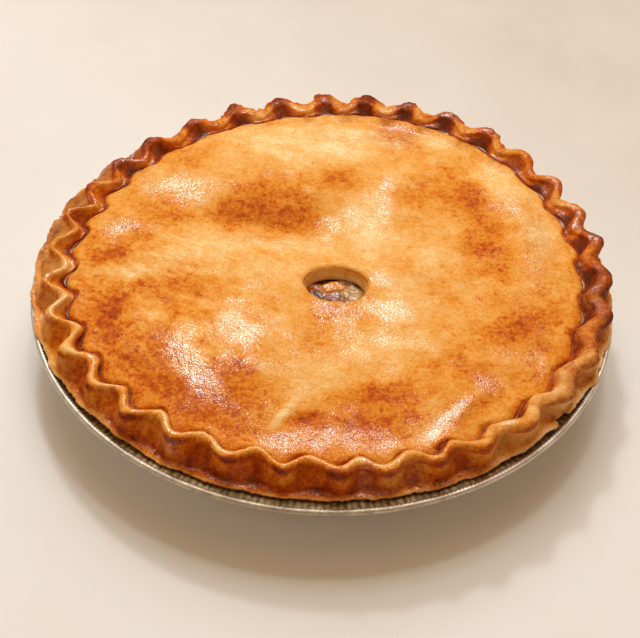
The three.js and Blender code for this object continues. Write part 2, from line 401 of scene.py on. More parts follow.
def keep_values(made, name, values):
    attribute = made.data.attributes.new(name, "FLOAT", "POINT")
    attribute.data.foreach_set("value", values.astype(np.float32))


def keep_colours(made, name, colours):
    attribute = made.data.attributes.new(name, "FLOAT_COLOR", "POINT")
    opaque = np.concatenate([colours, np.ones((len(colours), 1))], axis=1)
    attribute.data.foreach_set("color", opaque.astype(np.float32).ravel())


# How far the shown and then the hidden rings reach across the UV map.
SHOWN_REACH, HIDDEN_REACH = 0.43, 0.06


def disc_map(made, skin, shown_rows):
    """A round UV map. Distance from its middle is the distance travelled over the surface."""
    travelled = [0.0]
    for first, second in zip(skin.points, skin.points[1:]):
        travelled.append(travelled[-1] + np.linalg.norm(middle_of(first) - middle_of(second)))
    travelled = np.array(travelled)
    shown = travelled[shown_rows]
    past = (travelled - shown) / max(travelled[-1] - shown, 1e-6)
    outer = SHOWN_REACH + past * HIDDEN_REACH
    reach = np.where(travelled <= shown, travelled / shown * SHOWN_REACH, outer)
    places = []
    for ring, radius in zip(skin.points, reach):
        angle = around(len(ring))
        places.append(rows(0.5 + radius * np.sin(angle), 0.5 - radius * np.cos(angle)))
    places = np.concatenate(places)
    corners = read(made.data.loops, "vertex_index", 1, int).ravel()
    layer = made.data.uv_layers.new(name="OFBake")
    layer.data.foreach_set("uv", places[corners].ravel())


def middle_of(ring):
    """Typical radius and height of a ring."""
    return np.array([np.hypot(ring[:, 0], ring[:, 1]).mean(), ring[:, 2].mean()])


# -------- the crust's form


def crimp_controls(angle):
    """Radius and height of the rings that the crimp's smooth section runs through."""
    out = swing(angle)
    trail = 0.5 + 0.15 * each_scallop(angle, 3)
    crest_out = swing(angle, trail)
    wall_out = swing(angle, trail + 0.35) ** 0.7
    back = angle_hill(angle, 178, 62)
    travel = (crest_travel(angle) + 1.6 * back) * (1 + 0.13 * each_scallop(angle, 4))
    left_back = angle_hill(angle, -112, 34)
    crest = crest_reach(angle) - 0.3 + 0.8 * back - 1.4 * left_back - travel * (1 - crest_out)
    top = RIM_HEIGHT + CREST_RISE + crimp_lift(angle) - crest_dip(angle) * (1 - crest_out)
    top = top - 0.35 + 0.35 * each_scallop(angle, 5)
    half = CREST_WIDTH / 2 * crest_thickness(angle) * (1 + 0.10 * each_scallop(angle, 6))
    inner_half = half * (1 + 0.45 * back)
    gutter = gutter_reach(angle) - 2.4 * back - GUTTER_SHARE * travel * (1 - out)
    gutter_z = RIM_HEIGHT + GUTTER_RISE + crimp_lift(angle) + GUTTER_CLIMB * (1 - out)
    under = ledge_underside(angle)
    sides = np.sin(angle) ** 2
    edge = ledge_reach(angle) - (0.3 + 1.3 * sides) * (1 - out) - torn_edge(angle)
    foot = ledge_reach(angle) - 2.1 - 2.6 * (1 - wall_out) - 0.4 * sides
    foot_z = under + 2.9
    shoulder = [crest + half, top - 2.6]
    belly = 0.4 * wall_out - 1.4 * (1 - wall_out)
    tuck = 0.9 * (1 - wall_out) * angle_hill(angle, -20, 60)
    edge_in = gutter_reach(angle) - LID_EDGE_INSET
    edge_z = lid_top(edge_in * np.sin(angle), -edge_in * np.cos(angle)) + 0.4 * crimp_lift(angle)
    near_lid = np.minimum(gutter - 2.2, lerp(gutter, edge_in, 0.42))
    section = [
        [edge - 1.4, under],
        [edge - 0.3, under + 0.1],
        [edge, under + 0.5],
        [edge - 0.4, under + 1.0],
        [lerp(edge, foot, 0.5), under + 1.4],
        [foot + 0.5, under + 2.0],
        [foot, foot_z],
        [lerp(foot, shoulder[0], 0.2) + 0.8 * belly, lerp(foot_z, shoulder[1], 0.25)],
        [lerp(foot, shoulder[0], 0.5) + belly, lerp(foot_z, shoulder[1], 0.55)],
        [lerp(foot, shoulder[0], 0.8) + 0.6 * belly - tuck, lerp(foot_z, shoulder[1], 0.82)],
        shoulder,
        [crest + 0.72 * half, top - 0.75],
        [crest, top],
        [crest - 0.72 * inner_half, top - 0.75],
        [crest - inner_half, top - 2.4],
        [lerp(crest - inner_half, gutter, 0.7) + 0.1, lerp(top - 2.4, gutter_z, 0.7)],
        [gutter + 0.3, gutter_z + 0.4],
        [gutter - 0.5, gutter_z - 0.3],
        [gutter - 1.2, gutter_z + 0.6],
        [near_lid, lerp(gutter_z, edge_z, 0.5) + 0.7],
        [edge_in, edge_z],
    ]
    return [rows(reach + 0 * angle, height + 0 * angle) for reach, height in section]


# Rows of mesh in each stretch between the rings of the crimp's section.
CRIMP_STEPS = [1, 1, 2, 2, 2, 2, 2, 2, 2, 2, 3, 3, 3, 3, 2, 2, 2, 2, 3, 3]
# A point's zone is its place among those rings. These are the main ones, from the torn edge inward.
EDGE, FOOT, WALL, SHOULDER, CREST, INNER, GUTTER = 2, 6, 8, 10, 12, 14, 17
LID_MARK = len(CRIMP_STEPS)
VENT_MARK = LID_MARK + 2


def hidden_rings(gap):
    """The space for the filling, from its floor out, up and in to the vent, made smaller by the gap."""
    floor = FOIL + GAP + BOTTOM_CRUST + gap
    rings = [
        circle(1, 0, floor),
        circle(FLUTES, TIN_BASE_RADIUS - 7 - gap, floor),
        circle(2 * FLUTES, TIN_BASE_RADIUS - 4 - gap, floor + 1.6),
        circle(2 * FLUTES, LID_RADIUS - 1.5 - gap, RIM_HEIGHT + 3.5 - gap),
    ]
    for share in (0.92, 0.55, 0.18):
        x, y = across_lid(around(2 * FLUTES), share, LID_RADIUS - 4)
        rings.append(rows(x, y, lid_underside(x, y) - 2 * gap))
    return rings


def crust_skin():
    skin = Skin()
    lid_angle = around(MIDDLE_COLUMNS)
    lift = FOIL + GAP
    below = [
        circle(1, 0, lift),
        circle(FLUTES, 58, lift),
        circle(FLUTES, 61, lift + 1),
        circle(FLUTES, 67, lift + 1),
        circle(FLUTES, 70, lift),
        circle(2 * FLUTES, TIN_BASE_RADIUS - 2.2, lift),
        circle(2 * FLUTES, TIN_BASE_RADIUS + 0.4, HEEL_RISE + lift),
        circle(2 * FLUTES, TIN_TOP_RADIUS - 1.4, RIM_HEIGHT - WALL_DROP + GAP),
        circle(2 * FLUTES, TIN_TOP_RADIUS + 2.5, RIM_HEIGHT - FLANGE_DROP + GAP),
    ]

    for ring in hidden_rings(0):
        skin.add(ring, zone=-5)
    vent_controls = [
        (VENT_RADIUS - VENT_FUNNEL, -VENT_DEPTH),
        (VENT_RADIUS - VENT_FUNNEL, -4.4),
        (VENT_RADIUS - 0.8 * VENT_FUNNEL, -2.4),
        (VENT_RADIUS - 0.4, -0.8),
        (VENT_RADIUS + 0.6, 0.2),
        (VENT_RADIUS + 1.6, 0.5),
        (VENT_RADIUS + VENT_LIP, 0.3),
    ]
    ring_controls = [np.array(pair)[None, :] for pair in vent_controls]
    for mark, pair in catmull_rows(ring_controls, [2, 2, 3, 3, 2, 1]):
        radius, rise = pair[0]
        uneven = 0.35 * noise(cylinder_points(lid_angle, 12.0, 0), 7.0, 21)
        x, y = around_vent(lid_angle, radius + uneven * smoothstep(rise, -7, 0))
        skin.add(rows(x, y, lid_top(x, y) + rise), zone=VENT_MARK + 6 - mark)
    lid_rows = 78
    for row in range(1, lid_rows):
        share = row / lid_rows
        count = MIDDLE_COLUMNS if share < 0.5 else LID_COLUMNS
        angle = around(count)
        x, y = across_lid(angle, share, gutter_reach(angle) - LID_EDGE_INSET)
        z = lid_top(x, y) + 0.4 * crimp_lift(angle) * share**4 + 0.3 * (1 - share) ** 20
        skin.add(rows(x, y, z), zone=LID_MARK + 1)
    angle = around(CRIMP_COLUMNS)
    for mark, pair in reversed(catmull_rows(crimp_controls(angle), CRIMP_STEPS)):
        skin.add(cylinder_points(angle, pair[:, 0], pair[:, 1]), zone=mark)
    shown_rows = len(skin.points) - 1
    for ring in reversed(below):
        skin.add(ring, zone=-5)
    return skin, shown_rows


# -------- the crust's relief and browning

# Patches of the lid's colour: x, y, reach along X, reach along Y, turn in degrees, how much browner; round
# the hollow behind the vent they are partly painted shade and painted highlight.
LID_PATCHES = [
    # the hollow behind the vent, browned and partly painted shade on its slope that faces the front, and
    # the pale rim of dough round it, partly a painted highlight on the rise that faces the back
    (-33, 33, 14, 9, 0, 0.26),
    (-12, 30, 11, 7, -10, 0.20),
    (-24, 47, 24, 9, 0, 0.13),
    (4, 53, 10, 8, 0, 0.16),
    (-28, 12, 26, 6, 0, -0.16),
    (8, 30, 14, 10, 30, -0.16),
    (-54, 30, 8, 16, 0, -0.10),
    # the back; the pale top of the swell beyond the hollow is partly a painted highlight
    (-22, 74, 26, 11, 0, -0.20),
    (-30, 90, 18, 7, 0, -0.06),
    (-62, 72, 16, 10, 40, 0.10),
    (-61, 50, 14, 9, 0, -0.10),
    (30, 94, 14, 9, 0, 0.12),
    (48, 90, 6, 6, 0, -0.20),
    (2, 95, 22, 7, 0, -0.14),
    (8, 84, 14, 16, 0, -0.18),
    (0, 101, 60, 5, 0, 0.06),
    # the right
    (22, 30, 9, 30, -6, -0.16),
    (46, 58, 12, 18, -30, 0.10),
    (62, 56, 9, 12, -20, 0.20),
    (65, 30, 9, 20, 0, 0.20),
    (70, 8, 10, 14, 0, 0.10),
    (76, 62, 9, 20, 38, -0.22),
    (92, 26, 8, 20, 0, -0.22),
    (44, 4, 20, 14, 0, -0.08),
    (79, -30, 15, 7, 36, 0.34),
    (58, -24, 12, 8, 30, 0.04),
    (48, -48, 14, 9, 20, 0.05),
    (30, -24, 10, 18, 10, -0.16),
    (64, -46, 8, 7, 0, -0.06),
    # the left
    (-72, 27, 18, 14, 0, 0.13),
    (-87, 1, 9, 5, 0, 0.26),
    (-80, -9, 8, 5, 0, -0.22),
    (-74, -17, 6, 3, 0, 0.18),
    (-84, -30, 8, 11, 0, 0.26),
    (-88, -48, 12, 12, 0, 0.16),
    (-60, -20, 22, 8, 8, 0.12),
    (-48, 6, 24, 8, 0, -0.10),
    (-66, -36, 5, 3, 0, -0.18),
    (-68, -56, 14, 16, -30, 0.10),
    (-26, -6, 22, 7, 0, -0.14),
    # the front
    (-52, -46, 12, 12, -30, -0.06),
    (-30, -34, 20, 14, 0, 0.02),
    (-34, -68, 10, 8, 0, 0.20),
    (-30, -79, 9, 6, 0, 0.14),
    (-54, -76, 16, 9, -30, 0.12),
    (-4, -66, 12, 12, 0, -0.14),
    (-12.5, -85, 2.0, 8.5, -32, -0.36),
    (-4, -86, 8, 3, 14, 0.36),
    (12, -26, 14, 14, 0, 0.04),
    (22, -48, 14, 12, 0, -0.10),
    (24, -72, 14, 6, 16, 0.20),
    (17, -86, 9, 5, 0, 0.20),
    (38, -82, 6, 4, 0, 0.10),
    (45, -90, 9, 7, 30, -0.14),
    (20, -95, 50, 6, 0, 0.03),
    (-40, -92, 26, 8, -18, 0.12),
    (-44, -89, 12, 8, -25, 0.08),
]

# Small burnt spots on the lid: x, y, radius.
LID_SPOTS = [
    (-63, 84, 1.6), (-44, 77, 2.2), (-21, 92, 1.6), (-25, 62, 1.8),
    (-36, 56, 2.4), (-14, 54, 2.6), (4, 55, 2.8), (56, 64, 2.6),
    (70, 61, 3.0), (69, 52, 3.0), (64, 46, 2.2), (68, 33, 2.4),
    (60, 28, 2.0), (37, 12, 2.0), (-88, 2, 3.4), (-75, -17, 2.4),
    (-84, -27, 3.4), (-83, -36, 3.6), (-30, -63, 2.2), (-35, -69, 2.6),
    (-32, -75, 2.4), (-21, -83, 2.0), (26, -75, 2.4), (20, -72, 1.8),
    (30, -67, 1.8), (17, -86, 2.6), (27, -85, 2.0), (38, -81, 1.8),
    (92, -10, 1.6),
]


def patch_sum(x, y, patches):
    total = 0
    for patch_x, patch_y, reach_x, reach_y, turn, amount in patches:
        cosine, sine = math.cos(math.radians(turn)), math.sin(math.radians(turn))
        along = ((x - patch_x) * cosine + (y - patch_y) * sine) / reach_x
        across = ((y - patch_y) * cosine - (x - patch_x) * sine) / reach_y
        total += amount * np.exp(-(along**2 + across**2))
    return total


def spot_sum(x, y):
    total = 0
    for spot_x, spot_y, radius in LID_SPOTS:
        total += np.exp(-(((x - spot_x) ** 2 + (y - spot_y) ** 2) / radius**2))
    return total


STROKE_LENGTH, STROKE_WIDTH = 6.0, 1.9


def stroke_noise(points, seed):
    """Noise drawn out along the sweep of the pastry brush."""
    x, y = points.T[:2]
    bend = 0.35 * np.sin(x / 60.0) + 0.15 * np.sin(y / 35.0)
    turn = math.radians(-14) + bend
    along = x * np.cos(turn) + y * np.sin(turn)
    across = y * np.cos(turn) - x * np.sin(turn)
    return fractal(rows(along / STROKE_LENGTH, across / STROKE_WIDTH, 0 * x), 1.0, seed, 3, 0.6)


def ridged(points, size, seed):
    """Noise with narrow ridges, from 0 to 1."""
    return (1 - np.abs(fractal(points, size, seed, 2))).clip(0, 1) ** 3


def on_lid(zone):
    return smoothstep(zone, LID_MARK - 2.5, LID_MARK) * (zone < VENT_MARK + 3)


def crust_relief(points, zone, angle):
    """How far each point of the crust stands out of its smooth form."""
    x, y = points.T[:2]
    lid = on_lid(zone)
    crimp = (zone >= FOOT - 1.5) * (1 - lid) * (zone < LID_MARK + 0.5)
    broad = 0.60 * fractal(points, 24, 31, 2) + 0.22 * fractal(points, 9, 32, 2)
    blisters = np.maximum(0, noise(points, 4.4, 33) - 0.2) ** 1.5 * 0.25
    wrinkles = 0.08 * ridged(points, 9.0, 34) + 0.03 * stroke_noise(points, 35)
    grain = 0.02 * fractal(points, 2.6, 39, 2)
    scored = 1.1 * patch_sum(x, y, SCORES)
    relief = lid * (broad + blisters + wrinkles + grain + scored)
    folds = 0.45 * fractal(points * [1, 1, 0.45], 7, 36, 3) - 0.5 * ridged(points * [1, 1, 0.4], 9, 40)
    relief += crimp * (folds + 0.08 * fractal(points, 2.2, 37, 2))
    at_back = angle_hill(angle, 180, 70)
    ragged = np.maximum(0, fractal(points, 3.4, 63, 3, 0.7)) * hill(zone, SHOULDER + 0.6, 1.0)
    relief += 1.1 * at_back * ragged
    left_back = angle_hill(angle, -112, 36)
    rim = hill(zone, EDGE + 1.4, 0.9) * (0.9 + 0.8 * fractal(points, 2.6, 65, 2))
    rim -= 0.8 * hill(zone, FOOT - 0.4, 0.8)
    relief += left_back * (rim + crimp * 0.6 * (folds + 0.1))
    ledge = (zone > EDGE - 1) * (zone < FOOT - 0.8)
    torn = 0.28 + 0.35 * angle_hill(angle, -115, 45)
    relief += ledge * torn * fractal(points, 3.0, 38, 3, 0.7)
    return relief * (zone > EDGE - 1)


# Marks, nicks and creases of the lid, and last the hollow behind the vent and the swell
# beyond it: x, y, reach along X, reach along Y, turn in degrees, rise in mm.
SCORES = [
    (-12.5, -85, 1.9, 8, -32, 0.5),
    (-4, -86, 7, 1.6, 14, -0.4),
    (-16, 27, 12, 1.6, -18, 0.6),
    (92, -10, 5, 1.2, 40, -0.5),
    (-56, 4, 12, 1.4, 30, 0.3),
    (54, -80, 15, 3.2, 52, 0.9),
    (-30, 25, 18, 6, -8, -1.1),
    (-26, 46, 22, 8, 0, 1.1),
]


def crimp_browning(points, zone, angle):
    out = swing(angle, 0.6)
    marks = [0, 2, 2.6, 3.2, 4, 5, 6, 7.5, 9, 10, 11, 12, 13, 14, 15, 16, 17, 18, 19, 20]
    browns = [
        *(0.40, 0.40, 0.38, 0.43, 0.55, 0.63, 0.68, 0.64, 0.58, 0.57),
        *(0.48, 0.37, 0.40, 0.52, 0.68, 0.76, 0.68, 0.54, 0.46, 0.44),
    ]
    brown = np.interp(zone, marks, browns)
    wall = hill(zone, WALL, 2.0)
    # lighter on the outward bulges of the wall and darker in the scoops between them: painted light and
    # painted shade
    brown += -0.03 * wall * out + 0.06 * wall * (1 - out) ** 2
    # at the front where the crimp swings out: darker just under the crest, painted shade under its
    # overhang, and the crest itself a little browner
    front = angle_hill(angle, -20, 65) * out**1.5
    brown += front * (0.34 * hill(zone, SHOULDER + 0.2, 0.9) + 0.05 * hill(zone, CREST + 0.2, 1.4))
    right = angle_hill(angle, 62, 34)
    brown += right * (0.05 * hill(zone, CREST, 2) - 0.20 * (zone < SHOULDER - 0.5))
    brown += 0.22 * angle_hill(angle, 92, 20) * (zone > FOOT) * (zone < GUTTER - 1)
    # at the back: browner all over, with painted shade in the pockets behind the outward swings and on the
    # crest above them, while the crest stays lighter where it swings in: painted light and shade along the
    # scallops
    swung_out = smoothstep(out, 0.35, 0.9)
    at_back = 0.04 + 0.02 * hill(zone, INNER + 0.8, 2.0) + 0.08 * hill(zone, SHOULDER - 1, 4)
    at_back += hill(zone, INNER + 0.2, 2.2) * (0.26 * swung_out - 0.04)
    at_back += hill(zone, CREST - 0.2, 1.4) * (0.14 * swung_out + 0.10)
    brown += angle_hill(angle, 175, 75) * at_back
    brown -= 0.12 * angle_hill(angle, -80, 26) * (zone < INNER + 1)
    brown += 0.14 * angle_hill(angle, 4, 34) * hill(zone, FOOT - 1.4, 1.6)
    at_left = 0.16 * hill(zone, CREST, 1.6) + 0.20 * hill(zone, EDGE + 1, 1.2) - 0.08 * hill(zone, WALL, 2)
    brown += angle_hill(angle, -115, 38) * at_left
    brown += 0.12 * fractal(points * [1, 1, 0.5], 7, 44, 3) + 0.06 * noise(points, 2.6, 45)
    return np.minimum(brown, 0.93)


def crust_dryness(points, zone, angle):
    """Where the dough is plain and tan instead of egg-washed and golden."""
    crimp = zone < INNER + 0.5
    dry = 0.55 * angle_hill(angle, 62, 34) * crimp
    dry += 0.75 * angle_hill(angle, -112, 44) * (zone < SHOULDER - 0.5)
    dry += 0.35 * hill(zone, EDGE, 1.6)
    dry += 0.35 * noise(points, 9, 53) * crimp
    return np.clip(dry, 0, 1) * (zone < LID_MARK - 3) * (zone > 0)


def crust_browning(points, zone, angle):
    x, y = points.T[:2]
    flat = points * [1, 1, 0]
    lid = 0.405 + patch_sum(x, y, LID_PATCHES)
    at_back = angle_hill(angle, 180, 70)
    lid += (0.09 - 0.14 * at_back) * smoothstep(np.hypot(x, y), 60, 100)
    lid += 0.06 * fractal(flat, 15, 41, 3) + 0.05 * fractal(flat, 5, 42, 2)
    lid += 0.09 * patch_sum(x, y, GLOSSY).clip(0, 1)
    left = smoothstep(-x, 10, 70) * smoothstep(-y, -50, 10)
    lid += (0.02 + 0.07 * left) * stroke_noise(points, 43)
    lid = np.where(lid > 0.52, 0.52 + 0.55 * (lid - 0.52), lid).clip(0, 0.72)
    share = smoothstep(zone, LID_MARK - 2.4 - 0.5 * at_back, LID_MARK + 0.2)
    brown = lerp(crimp_browning(points, zone, angle), lid, share)
    # In the vent the wall is orange-brown under the rolled lip, partly painted shade beneath the roll, and
    # pale unbaked cream lower down.
    in_vent = smoothstep(zone, VENT_MARK + 1.2, VENT_MARK + 3.5)
    wall = lerp(0.38, 0.17, smoothstep(zone, VENT_MARK + 3.1, VENT_MARK + 4.8))
    brown = lerp(brown, wall + 0.08 * noise(points, 3, 46), in_vent)
    return np.where(zone < -1, 0.3, brown).clip(0, 1)


def crust_scorch(points, zone, brown):
    """Where small burnt flecks cluster."""
    x, y = points.T[:2]
    spots = spot_sum(x, y) * (0.8 + 0.5 * noise(points * [1, 1, 0], 3.0, 48))
    lid = spots + 0.45 * smoothstep(brown, 0.42, 0.62)
    crimp = 0.3 * hill(zone, FOOT - 1.5, 1.6)
    return np.clip(lerp(crimp, lid, on_lid(zone)), 0, 1) * (zone > 0)


# Glossy places on the lid, where egg wash caught: x, y, reach along X, reach along Y, turn, gloss.
GLOSSY = [
    (-48, -65, 5, 20, 42, 1.0),
    (-34, -46, 20, 17, 0, 0.52),
    (53, -80, 14, 3.4, 52, 1.0),
    (66, -64, 5, 5, 0, 0.6),
    (84, -46, 8, 10, 0, 0.5),
    (12, -96, 46, 7, 0, 0.50),
    (8, -34, 13, 9, 0, 0.5),
    (43, -87, 8, 12, 30, 0.35),
    (29, -28, 6, 14, -10, 0.7),
    (24, -8, 6, 6, 0, 0.7),
    (-28, 14, 22, 4, 0, 0.6),
    (-64, 46, 16, 12, 0, 0.7),
    (-86, 18, 12, 8, 0, 0.5),
    (12, 28, 14, 12, 30, 0.45),
    (25, 48, 4, 24, 0, 0.5),
    (28, 92, 10, 10, 0, 0.8),
    (80, 48, 7, 10, 40, 0.6),
    (90, 20, 8, 22, 0, 0.6),
    (2, 90, 12, 12, 0, 0.3),
    (-28, 36, 20, 11, 0, -0.5),
    (30, 94, 14, 9, 0, 0.5),
    (-30, 19, 16, 2.5, 0, 0.5),
]


def crust_shine(points, zone, angle):
    x, y = points.T[:2]
    lid = 0.20 + patch_sum(x, y, GLOSSY) + 0.25 * fractal(points, 9, 51, 2)
    crimp = 0.34 + 0.35 * fractal(points, 9, 52, 2) + 0.25 * hill(zone, CREST + 0.5, 1.4)
    crimp -= 0.3 * angle_hill(angle, 62, 34)
    crimp += 0.5 * hill(zone, FOOT - 1.4, 0.9) * angle_hill(angle, 5, 50)
    at_back = 0.2 * hill(zone, INNER + 0.5, 2) - 0.4 * hill(zone, CREST - 0.4, 1.6)
    crimp += angle_hill(angle, 180, 60) * at_back
    crimp += 0.35 * angle_hill(angle, -5, 60) * hill(zone, CREST + 1.2, 1.0)
    shine = lerp(crimp, lid, on_lid(zone))
    return np.clip(shine, 0, 1) * (zone < VENT_MARK + 2.5)


def settle(height, limit):
    """Heights within the last 1 mm below the limit are eased so that none reaches it."""
    eased = limit - np.exp(np.minimum(0, limit - 1 - height))
    return np.where(height > limit - 1, eased, height)


def draw_in(points, limit):
    """Points beyond the limit from the middle, brought in to it."""
    share = np.minimum(1, limit / np.maximum(np.hypot(points[:, 0], points[:, 1]), 1))
    return points * rows(share, share, np.ones_like(share))


def make_crust():
    skin, shown_rows = crust_skin()
    points = skin.all_points()
    zone = skin.stack("zone")
    made = make_object("pie_crust", points, skin.faces(), pastry_material())
    angle = np.arctan2(points[:, 0], -points[:, 1]) % TAU
    relief = crust_relief(points, zone, angle)
    points += read(made.data.vertices, "normal", 3) * relief[:, None]
    points[:, 2] = settle(points[:, 2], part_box("crust")[1].z / MM - BOX_MARGIN)
    points = draw_in(points, RIM_RADIUS - BOX_MARGIN)
    move_points(made, points)
    brown = crust_browning(points, zone, angle)
    keep_values(made, "brown", brown)
    keep_values(made, "scorch", crust_scorch(points, zone, brown))
    keep_values(made, "dry", crust_dryness(points, zone, angle))
    keep_values(made, "shine", crust_shine(points, zone, angle))
    disc_map(made, skin, shown_rows)
    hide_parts("crust")
    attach(made, body)


# -------- the syrup line


def make_syrup():
    """A thin bead of caramelised syrup in the gutter between the lid and the crimp."""
    angle = around(CRIMP_COLUMNS)
    controls = crimp_controls(angle)
    line = controls[GUTTER]
    middle = cylinder_points(angle, line[:, 0], line[:, 1])
    pool = swing(angle) ** 3 * smoothstep(noise(middle, 18, 62), -0.4, 0.3)
    wide = 0.24 + 0.8 * pool
    lift = 0.7 * pool - 0.35 + 0.2 * noise(middle, 5, 61)
    points = []
    sides = 8
    for side in range(sides):
        turn = side / sides * TAU
        radius = line[:, 0] + wide * np.cos(turn)
        height = line[:, 1] + lift + 0.4 * np.sin(turn)
        points.append(cylinder_points(angle, radius, height))
    points = np.concatenate(points)
    faces = []
    for side in range(sides):
        here = side * CRIMP_COLUMNS
        there = (side + 1) % sides * CRIMP_COLUMNS
        faces.extend(bridge(here, CRIMP_COLUMNS, there, CRIMP_COLUMNS))
    made = make_object("syrup_line", points, faces, syrup_material())
    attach(made, body)


# -------- the filling

# Pieces of apple in the vent: x, y, turn, length, width, rise in mm, from the vent's middle, and colour.
APPLE_PIECES = [
    (-1.2, 4.4, 0.25, 5.4, 3.0, 2.2, "#DE9640"),
    (7.0, 1.6, 1.2, 5.0, 4.6, 1.4, "#B8925C"),
    (4.6, 7.4, -0.5, 5.2, 2.8, 1.1, "#86664E"),
    (-1.0, -0.4, -0.1, 4.8, 3.2, 1.0, "#925C4A"),
    (-8.4, 4.2, 0.6, 3.8, 2.8, 1.1, "#9A4E12"),
    (-6.8, -0.6, -0.5, 4.6, 3.0, 0.7, "#583430"),
    (2.0, -6.0, 0.3, 6.0, 3.4, 0.8, "#8A5E36"),
]
# The filling's colour between the pieces: darkened as painted shade in the gaps between them.
APPLE_GAP_SHADE = "#5A280C"


def vent_apple(x, y):
    """Rise of the apple pieces that show in the vent, and the colour of each point."""
    rise = np.zeros_like(x)
    colours = np.tile(linear(APPLE_GAP_SHADE), (len(x), 1))
    for place_x, place_y, turn, long, wide, height, colour in APPLE_PIECES:
        dx = x - VENT_X - place_x
        dy = y - VENT_Y - place_y
        along = (dx * math.cos(turn) + dy * math.sin(turn)) / long
        across = (dy * math.cos(turn) - dx * math.sin(turn)) / wide
        lumpy = 0.5 * noise(rows(x, y, 0 * x), 2.6, 72)
        bump = height * (1 - smoothstep(np.abs(along) ** 2.6 + np.abs(across) ** 2.6 + lumpy, 0.3, 1.5))
        colours[bump > rise] = linear(colour)
        rise = np.maximum(rise, bump)
    return rise, colours


def make_filling():
    skin = Skin()
    angle = around(MIDDLE_COLUMNS)
    top = lid_underside(np.array([VENT_X]), np.array([VENT_Y])) - GAP
    skin.add(np.array([[VENT_X, VENT_Y, top[0]]]))
    for radius in np.linspace(0.4, VENT_RADIUS - VENT_FUNNEL, 30):
        x, y = around_vent(angle, radius)
        skin.add(rows(x, y, lid_underside(x, y) - GAP))
    shown_rows = len(skin.points)
    for ring in reversed(hidden_rings(GAP)):
        skin.add(ring)
    points = skin.all_points()
    rise, colours = vent_apple(points[:, 0], points[:, 1])
    shows = (from_vent(points[:, 0], points[:, 1]) < VENT_RADIUS) * (points[:, 2] > RIM_HEIGHT)
    points[:, 2] += shows * (rise - 0.2 + 0.35 * fractal(points, 2.4, 71, 2))
    made = make_object("apple_filling", points, skin.faces(), filling_material())
    keep_colours(made, "apple", colours)
    disc_map(made, skin, shown_rows)
    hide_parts("filling")
    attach(made, body)


# -------- the tin

PLEATS = 270
KNURLS = 450


def tin_rows():
    """Radius, height, pleat depth and knurl depth of the tin's rings: outside, then back inside."""
    wall_top = RIM_HEIGHT - WALL_DROP
    flange = RIM_HEIGHT - FLANGE_DROP
    middle = RIM_RADIUS - BEAD_RADIUS - 0.06
    outside = [(0, 0, 0, 0), (20, 0, 0, 0), (40, 0, 0, 0), (57, 0, 0, 0), (58.5, 0.25, 0, 0)]
    outside += [(60, 0.9, 0, 0), (61.5, 1.0, 0, 0), (66.5, 1.0, 0, 0), (68, 0.9, 0, 0), (69.5, 0.25, 0, 0)]
    outside += [(71, 0, 0, 0), (84, 0, 0, 0), (89.5, 0, 0, 0), (91.2, 0.35, 0.1, 0), (92.6, 1.4, 0.3, 0)]
    for share in (0.1, 0.3, 0.5, 0.7, 0.9, 1.0):
        radius = lerp(92.6, TIN_TOP_RADIUS + FOIL, share)
        outside.append((radius, lerp(1.4, wall_top - FOIL, share), 0.4, 0))
    outside += [(TIN_TOP_RADIUS + 1.6, wall_top - 0.3, 0.35, 0), (116, flange - 0.9, 0.3, 0)]
    outside += [(FLANGE_RADIUS + 0.3, flange - FOIL, 0.15, 0)]
    for degrees in (-118, -90, -60, -30, 0, 25, 50, 72, 92):
        turn = math.radians(degrees)
        radius = middle + BEAD_RADIUS * math.cos(turn)
        outside.append((radius, RIM_HEIGHT + BEAD_RADIUS * math.sin(turn), 0, 0.04))
    inside = [(middle - 0.7, RIM_HEIGHT + 1.0, 0, 0.14), (middle - 1.35, RIM_HEIGHT + 0.6, 0, 0.18)]
    inside += [(FLANGE_RADIUS + 0.3, RIM_HEIGHT - 0.2, 0.03, 0.14)]
    inside += [(FLANGE_RADIUS - 0.1, flange + 0.05, 0.1, 0)]
    inside += [(FLANGE_RADIUS - 1.1, flange + 0.1, 0.3, 0), (115, flange - 0.2, 0.35, 0)]
    inside += [(TIN_TOP_RADIUS + 1.2, wall_top + 0.3, 0.35, 0), (TIN_TOP_RADIUS, wall_top - 0.5, 0.35, 0)]
    inside += [(101, 13, 0.35, 0), (92.0, HEEL_RISE + FOIL, 0.3, 0), (89.4, FOIL, 0, 0), (70, FOIL, 0, 0)]
    inside += [(67, 1 + FOIL, 0, 0), (61, 1 + FOIL, 0, 0), (58, FOIL, 0, 0), (0, FOIL, 0, 0)]
    return outside, inside


